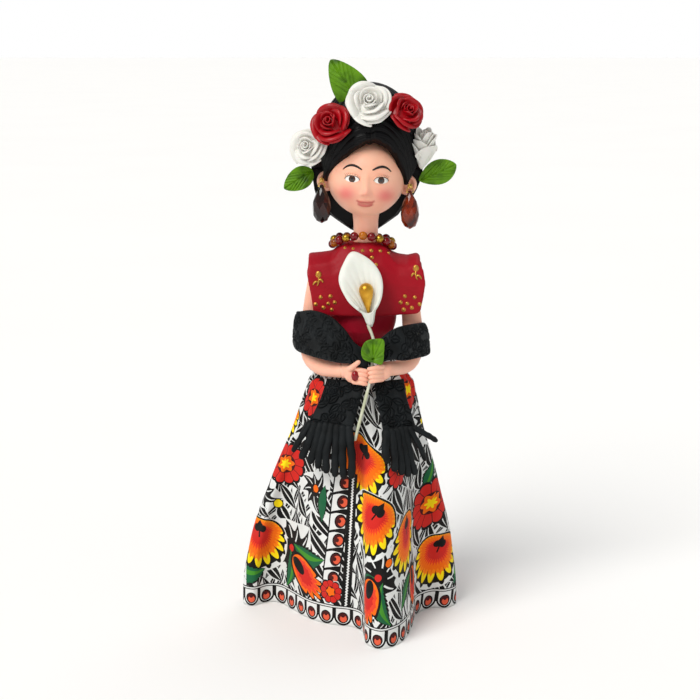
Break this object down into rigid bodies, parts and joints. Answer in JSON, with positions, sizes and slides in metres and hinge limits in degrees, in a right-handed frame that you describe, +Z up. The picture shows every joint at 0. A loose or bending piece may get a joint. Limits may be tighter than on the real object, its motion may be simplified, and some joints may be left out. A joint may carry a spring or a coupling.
{
  "type": "folk dress doll",
  "caption": "Standing hand-modelled clay doll in folk dress: rose crown, boxy blouse, shawl with fringe, long folded skirt, calla lily in its hands and swinging glass ear drops.",
  "frame": {"origin": "on the floor, at the centre of the base disc's underside", "axes": "+Z up along the doll's spine, the doll faces -Y, +X to the right as seen from the front"},
  "size_m": [0.1156, 0.1172, 0.29],
  "materials": {
    "base_board": "bare fibreboard",
    "core_card": "plain card",
    "dowel_wood": "bare wood",
    "skirt_sheet": "satin printed sheet of air-dry clay",
    "clay_bodice": "satin air-dry clay",
    "clay_blouse": "satin air-dry clay",
    "clay_skin": "satin air-dry clay, tinted cheeks",
    "clay_black": "satin air-dry clay",
    "clay_charcoal": "matte embossed air-dry clay",
    "clay_white": "satin air-dry clay",
    "clay_red": "satin air-dry clay",
    "clay_green": "satin air-dry clay",
    "clay_stem": "satin air-dry clay on wire",
    "gold_paint": "metallic gold relief paint",
    "eye_bead": "polished",
    "ring_enamel": "polished",
    "wire": "polished wire",
    "glass_brown": "faceted, polished",
    "glass_burgundy": "polished",
    "glass_amber": "polished",
    "thread": "twisted thread"
  },
  "bodies": {
    "doll": {"base_disc": "base_board", "card_cone": "core_card", "spine_dowel": "dowel_wood", "skirt": "skirt_sheet", "bodice": "clay_bodice", "huipil": "clay_blouse", "gold_dots": "gold_paint", "gold_scrolls": "gold_paint", "neck": "clay_skin", "head": "clay_skin", "ear_left": "clay_skin", "ear_right": "clay_skin", "eye_left": "eye_bead", "eye_right": "eye_bead", "eyebrow_left": "clay_black", "eyebrow_right": "clay_black", "hair_back": "clay_black", "hair_nape": "clay_black", "hair_lock_left": "clay_black", "hair_lock_right": "clay_black", "rose_centre": "clay_white", "rose_left": "clay_red", "rose_right": "clay_red", "rose_far_left": "clay_white", "rose_far_right": "clay_white", "leaf_top": "clay_green", "leaf_left": "clay_green", "leaf_right": "clay_green", "ear_post_left": "wire", "ear_post_right": "wire", "beads_burgundy": "glass_burgundy", "beads_amber": "glass_amber", "necklace_thread": "thread", "arm_left": "clay_skin", "arm_right": "clay_skin", "ring_stone": "ring_enamel", "shawl_wrap_left": "clay_charcoal", "shawl_wrap_right": "clay_charcoal", "shawl_back": "clay_charcoal", "shawl_end_left": "clay_charcoal", "shawl_end_right": "clay_charcoal", "fringe_left": "clay_charcoal", "fringe_right": "clay_charcoal", "calla_spathe": "clay_white", "calla_spadix": "gold_paint", "calla_stem": "clay_stem", "calla_leaf": "clay_green"},
    "bail_left": {"ear_bail_left": "wire"},
    "drop_left": {"ear_drop_left": "glass_brown"},
    "bail_right": {"ear_bail_right": "wire"},
    "drop_right": {"ear_drop_right": "glass_brown"}
  },
  "joints": [
    {"name": "bail_left_swing", "type": "hinge", "parent": "doll", "child": "bail_left", "pos_m": [-0.0202, -0.0098, 0.2302], "axis": [0, 1, 0], "range_deg": [-8, 40]},
    {"name": "drop_left_swing", "type": "hinge", "parent": "bail_left", "child": "drop_left", "pos_m": [-0.0202, -0.0098, 0.227], "axis": [-1, 0, 0], "range_deg": [-10, 40]},
    {"name": "bail_right_swing", "type": "hinge", "parent": "doll", "child": "bail_right", "pos_m": [0.0247, -0.0098, 0.2272], "axis": [0, -1, 0], "range_deg": [-8, 40]},
    {"name": "drop_right_swing", "type": "hinge", "parent": "bail_right", "child": "drop_right", "pos_m": [0.0247, -0.0098, 0.224], "axis": [-1, 0, 0], "range_deg": [-10, 40]}
  ]
}
